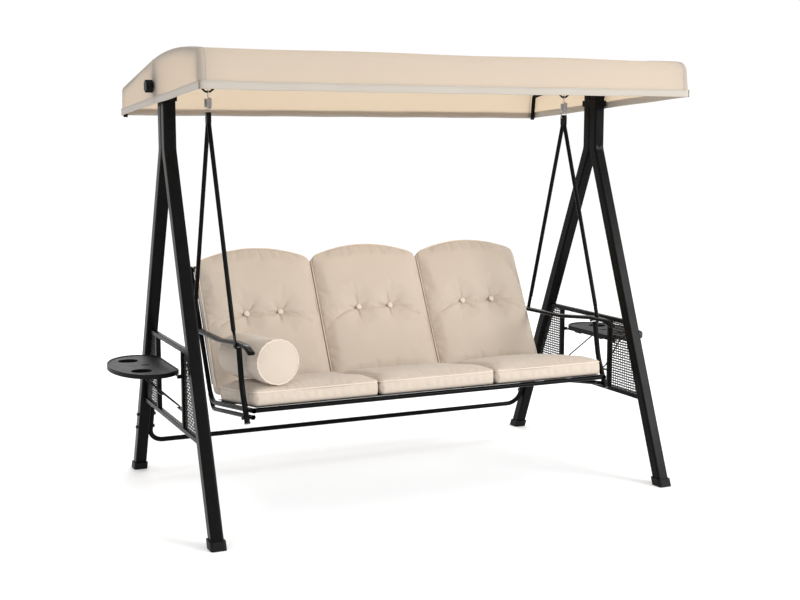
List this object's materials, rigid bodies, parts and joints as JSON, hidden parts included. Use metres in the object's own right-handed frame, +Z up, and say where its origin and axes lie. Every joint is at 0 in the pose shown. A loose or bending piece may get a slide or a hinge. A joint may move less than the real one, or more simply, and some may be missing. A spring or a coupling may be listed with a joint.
{
  "type": "canopy swing bench",
  "caption": "Free-standing swing bench: cushioned seat and back hung on springs from two A-frames, with a tilting cloth canopy and folding side trays.",
  "frame": {"origin": "on the floor, under the middle of the whole object", "axes": "+X along the bench's length, the bench faces -Y, +Z up"},
  "size_m": [2.5, 1.3328, 1.8335],
  "materials": {
    "black_steel": "smooth",
    "black_plastic": "smooth",
    "zinc_steel": "smooth",
    "bolt_steel": "smooth",
    "woven_mesh": "woven",
    "canopy_fabric": "woven",
    "cushion_fabric": "woven",
    "sling_fabric": "woven"
  },
  "bodies": {
    "frame": {"foot_caps": "black_plastic", "frame_bolts": "bolt_steel", "front_leg_left": "black_steel", "front_leg_right": "black_steel", "head_collar_left": "black_steel", "head_collar_right": "black_steel", "panel_rails_left": "black_steel", "panel_rails_right": "black_steel", "panel_uprights_left": "black_steel", "panel_uprights_right": "black_steel", "rear_crossbar": "black_steel", "rear_leg_left": "black_steel", "rear_leg_right": "black_steel", "spring_hook_left": "black_steel", "spring_hook_right": "black_steel", "stay_clips": "black_steel", "top_beam": "black_steel", "tray_hinge_left": "black_steel", "tray_hinge_right": "black_steel", "weave_panels_left": "woven_mesh", "weave_panels_right": "woven_mesh"},
    "canopy": {"canopy_cover": "canopy_fabric", "canopy_cross_tubes": "black_steel", "canopy_side_frame_left": "black_steel", "canopy_side_frame_right": "black_steel", "canopy_struts": "black_steel"},
    "knob_left": {"tilt_knob_left": "black_plastic"},
    "knob_right": {"tilt_knob_right": "black_plastic"},
    "springs": {"spring_left": "zinc_steel", "spring_right": "zinc_steel"},
    "seat": {"arm_left": "black_steel", "arm_right": "black_steel", "arm_support_left": "black_steel", "arm_support_right": "black_steel", "back_cushion_left": "cushion_fabric", "back_cushion_middle": "cushion_fabric", "back_cushion_right": "cushion_fabric", "back_sling": "sling_fabric", "cushion_buttons": "cushion_fabric", "hanger_eyes": "black_steel", "hanger_front_left": "black_steel", "hanger_front_right": "black_steel", "hanger_rear_left": "black_steel", "hanger_rear_right": "black_steel", "seat_bolts": "bolt_steel", "seat_cross_rails": "black_steel", "seat_cushion_left": "cushion_fabric", "seat_cushion_middle": "cushion_fabric", "seat_cushion_right": "cushion_fabric", "seat_lower_rails": "black_steel", "seat_side_frame_left": "black_steel", "seat_side_frame_right": "black_steel", "seat_sling": "sling_fabric"},
    "bolster": {"bolster": "cushion_fabric"},
    "tray_left": {"tray_left": "black_plastic"},
    "tray_right": {"tray_right": "black_plastic"},
    "stay_left": {"tray_stay_left": "black_steel"},
    "stay_right": {"tray_stay_right": "black_steel"}
  },
  "joints": [
    {"name": "canopy_tilt", "type": "hinge", "parent": "frame", "child": "canopy", "pos_m": [0, -0.028, 1.702], "axis": [1, 0, 0], "range_deg": [-25, 25]},
    {"name": "seat_swing", "type": "hinge", "parent": "frame", "child": "springs", "pos_m": [0, -0.033, 1.684], "axis": [1, 0, 0], "range_deg": [-16, 16]},
    {"name": "seat_bounce", "type": "slide", "parent": "springs", "child": "seat", "axis": [0, 0, -1], "range_m": [0, 0.025], "stiffness_N_per_m": 40000, "springref_m": -0.022, "deforming": ["spring_left", "spring_right"]},
    {"name": "bolster_lift", "type": "slide", "parent": "seat", "child": "bolster", "axis": [0.7071, 0, 0.7071], "range_m": [0, 0.25]},
    {"name": "knob_left_turn", "type": "hinge", "parent": "frame", "child": "knob_left", "pos_m": [-1.07, -0.028, 1.702], "axis": [-1, 0, 0], "continuous": true},
    {"name": "tray_left_fold", "type": "hinge", "parent": "frame", "child": "tray_left", "pos_m": [-1.02, 0.008, 0.574], "axis": [0, -1, 0], "range_deg": [0, 90]},
    {"name": "stay_left_fold", "type": "hinge", "parent": "tray_left", "child": "stay_left", "pos_m": [-1.135, 0.008, 0.566], "axis": [0, -1, 0], "range_deg": [0, 36]},
    {"name": "knob_right_turn", "type": "hinge", "parent": "frame", "child": "knob_right", "pos_m": [1.07, -0.028, 1.702], "axis": [1, 0, 0], "continuous": true},
    {"name": "tray_right_fold", "type": "hinge", "parent": "frame", "child": "tray_right", "pos_m": [1.02, 0.008, 0.574], "axis": [0, 1, 0], "range_deg": [0, 90]},
    {"name": "stay_right_fold", "type": "hinge", "parent": "tray_right", "child": "stay_right", "pos_m": [1.135, 0.008, 0.566], "axis": [0, 1, 0], "range_deg": [0, 36]}
  ],
  "couplings": [
    {"joint": "stay_left_fold", "follows": "tray_left_fold", "ratio": 0.4},
    {"joint": "stay_right_fold", "follows": "tray_right_fold", "ratio": 0.4}
  ]
}
